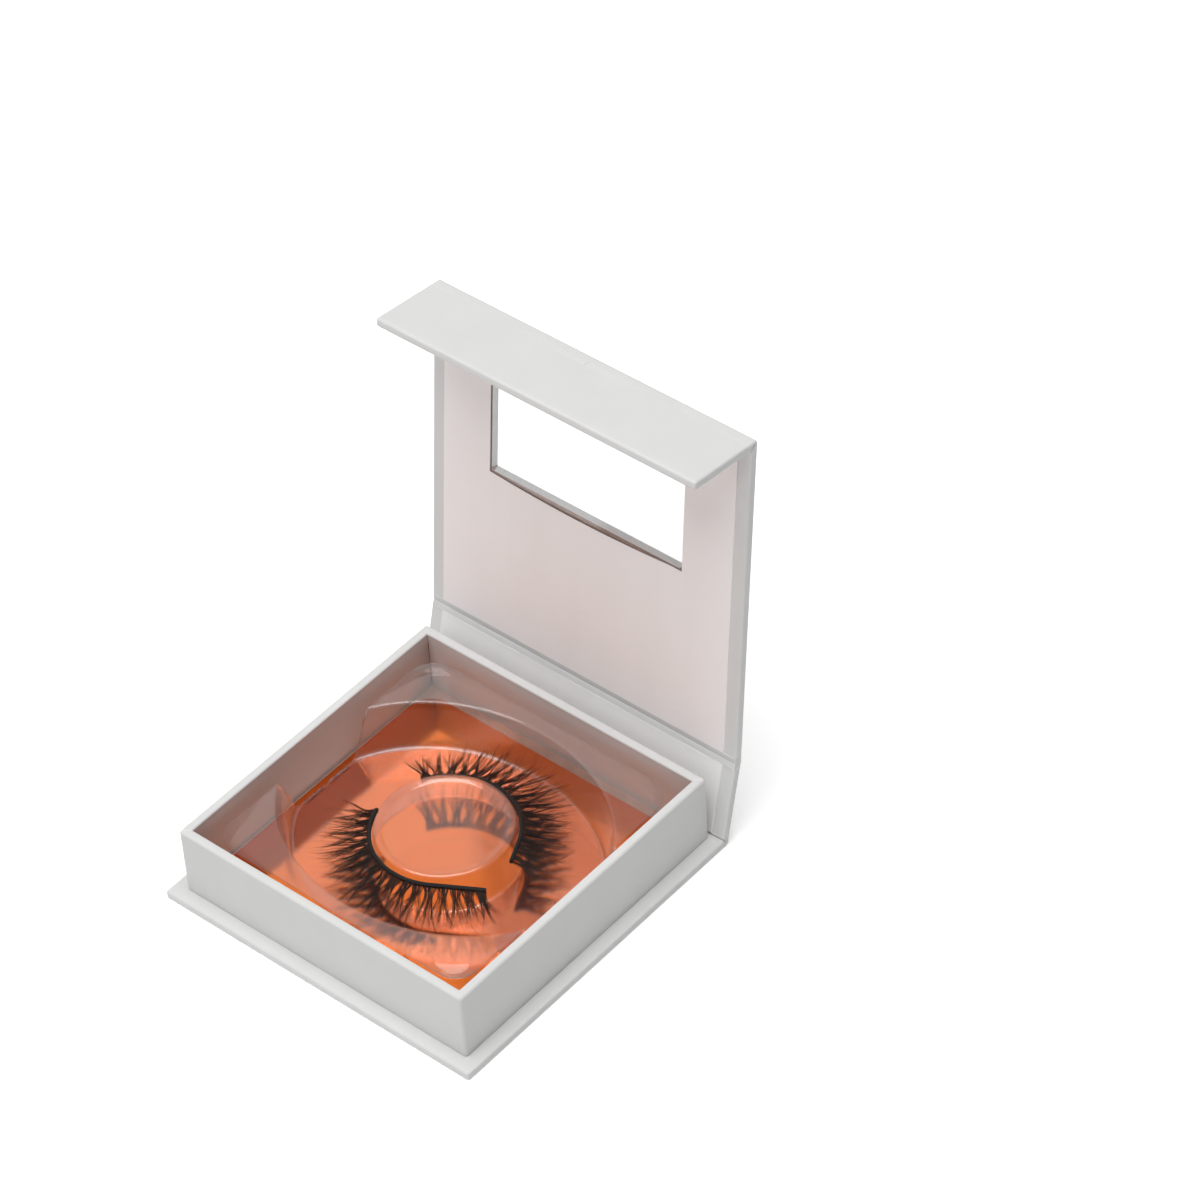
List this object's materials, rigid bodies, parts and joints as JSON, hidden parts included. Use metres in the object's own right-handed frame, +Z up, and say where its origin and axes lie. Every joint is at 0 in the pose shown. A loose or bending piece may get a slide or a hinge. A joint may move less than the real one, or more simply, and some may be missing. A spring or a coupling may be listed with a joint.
{
  "type": "false eyelash case",
  "caption": "Square book-style case with a windowed lid and a magnetic flap, holding a pair of strip lashes on a clear formed tray over a copper foil card.",
  "frame": {"origin": "centre of the tray in plan, on the underside of the base panel", "axes": "+Z up, -Y towards the front where the flap closes, +X to the right seen from the front"},
  "size_m": [0.0732, 0.0854, 0.0915],
  "materials": {
    "greyboard": "raw greyboard",
    "wrap_paper": "smooth pale grey, satin",
    "liner_paper": "smooth off-white, satin",
    "stay_tape": "kraft",
    "magnet": "nickel plated",
    "window_film": "clear film",
    "foil_card": "copper mirror foil",
    "clear_sheet": "clear thermoformed sheet",
    "lash_band": "black cotton thread",
    "lash_hair": "soft black synthetic hair"
  },
  "bodies": {
    "tray": {"base_board": "greyboard", "base_wrap": "wrap_paper", "tray_board": "greyboard", "tray_corner_stays": "stay_tape", "tray_wrap": "wrap_paper", "tray_magnets": "magnet", "spine_hinge": "wrap_paper"},
    "spine": {"spine_board": "greyboard", "spine_wrap": "wrap_paper", "spine_liner": "liner_paper", "lid_hinge": "wrap_paper"},
    "lid": {"lid_board": "greyboard", "lid_wrap": "wrap_paper", "lid_liner": "liner_paper", "window_film": "window_film", "flap_hinge": "wrap_paper"},
    "flap": {"flap_board": "greyboard", "flap_wrap": "wrap_paper", "flap_liner": "liner_paper", "flap_magnets": "magnet"},
    "foil_card": {"foil_card": "foil_card"},
    "lash_tray": {"lash_tray": "clear_sheet"},
    "front_lash": {"front_lash_band": "lash_band", "front_lash_hairs": "lash_hair"},
    "back_lash": {"back_lash_band": "lash_band", "back_lash_hairs": "lash_hair"}
  },
  "joints": [
    {"name": "spine_fold", "type": "hinge", "parent": "tray", "child": "spine", "pos_m": [0, 0.0352, 0.0007], "axis": [-1, 0, 0], "range_deg": [-15.5, 74.5]},
    {"name": "lid_fold", "type": "hinge", "parent": "spine", "child": "lid", "pos_m": [0, 0.03993, 0.01776], "axis": [-1, 0, 0], "range_deg": [-81.1, 8.9]},
    {"name": "flap_fold", "type": "hinge", "parent": "lid", "child": "flap", "pos_m": [0, 0.04814, 0.08868], "axis": [-1, 0, 0], "range_deg": [-0.75, 89.25]},
    {"name": "card_lift", "type": "slide", "parent": "tray", "child": "foil_card", "axis": [0, 0, 1], "range_m": [0, 0.02]},
    {"name": "lash_tray_lift", "type": "slide", "parent": "foil_card", "child": "lash_tray", "axis": [0, 0, 1], "range_m": [0, 0.015]},
    {"name": "front_lash_lift", "type": "slide", "parent": "lash_tray", "child": "front_lash", "axis": [0, 0, 1], "range_m": [0, 0.015]},
    {"name": "back_lash_lift", "type": "slide", "parent": "lash_tray", "child": "back_lash", "axis": [0, 0, 1], "range_m": [0, 0.015]}
  ]
}
